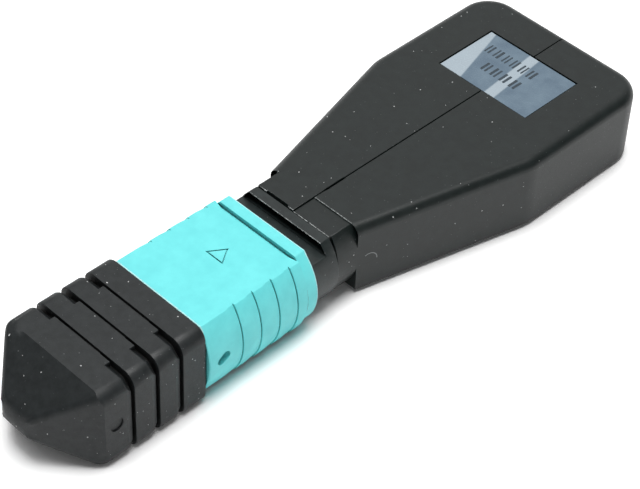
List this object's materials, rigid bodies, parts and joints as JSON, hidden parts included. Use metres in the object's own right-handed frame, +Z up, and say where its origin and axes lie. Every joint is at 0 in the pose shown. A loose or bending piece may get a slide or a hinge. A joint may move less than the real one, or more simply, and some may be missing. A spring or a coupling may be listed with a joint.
{
  "type": "fibre optic loopback plug",
  "caption": "Push-pull multi-fibre optical plug with sliding sleeve, ribbed dust cap and a flat paddle housing that loops its fibres back.",
  "frame": {"origin": "middle of the plug's length and width, on the surface it lies on", "axes": "+Y from the dust cap's nose to the loop housing, +X across, +Z up towards the key and the label"},
  "size_m": [0.0194, 0.0646, 0.0082],
  "materials": {
    "cap_elastomer": "soft matt moulded",
    "sleeve_aqua": "satin moulded",
    "housing_black": "satin moulded",
    "loop_housing_abs": "fine spark-eroded matt",
    "ferrule_pps": "moulded, polished face",
    "boot_rubber": "matt",
    "keeper_nylon": "satin moulded",
    "spring_steel": "drawn wire",
    "label_film": "glossy silver film",
    "fibre_blue": "acrylate coating",
    "fibre_orange": "acrylate coating",
    "fibre_green": "acrylate coating",
    "fibre_brown": "acrylate coating",
    "fibre_slate": "acrylate coating",
    "fibre_white": "acrylate coating"
  },
  "bodies": {
    "plug_body": {"inner_housing": "housing_black", "spring_push": "housing_black", "loop_housing_left": "loop_housing_abs", "loop_housing_right": "loop_housing_abs", "label": "label_film", "main_spring": "spring_steel", "coupling_spring_left": "spring_steel", "coupling_spring_right": "spring_steel"},
    "dust_cap": {"dust_cap": "cap_elastomer"},
    "coupling_sleeve": {"coupling_sleeve": "sleeve_aqua"},
    "ferrule": {"mt_ferrule": "ferrule_pps", "ferrule_boot": "boot_rubber", "pin_keeper": "keeper_nylon", "fibre_loop_upper_1": "fibre_blue", "fibre_loop_lower_1": "fibre_blue", "fibre_loop_upper_2": "fibre_orange", "fibre_loop_lower_2": "fibre_orange", "fibre_loop_upper_3": "fibre_green", "fibre_loop_lower_3": "fibre_green", "fibre_loop_upper_4": "fibre_brown", "fibre_loop_lower_4": "fibre_brown", "fibre_loop_upper_5": "fibre_slate", "fibre_loop_lower_5": "fibre_slate", "fibre_loop_upper_6": "fibre_white", "fibre_loop_lower_6": "fibre_white"}
  },
  "joints": [
    {"name": "dust_cap_pull", "type": "slide", "parent": "plug_body", "child": "dust_cap", "axis": [0, -1, 0], "range_m": [0, 0.016]},
    {"name": "sleeve_pull", "type": "slide", "parent": "plug_body", "child": "coupling_sleeve", "axis": [0, 1, 0], "range_m": [0, 0.0015], "stiffness_N_per_m": 1200, "deforming": ["coupling_spring_left", "coupling_spring_right"]},
    {"name": "ferrule_float", "type": "slide", "parent": "plug_body", "child": "ferrule", "axis": [0, 1, 0], "range_m": [0, 0.0006], "stiffness_N_per_m": 3000, "deforming": ["main_spring"]}
  ]
}
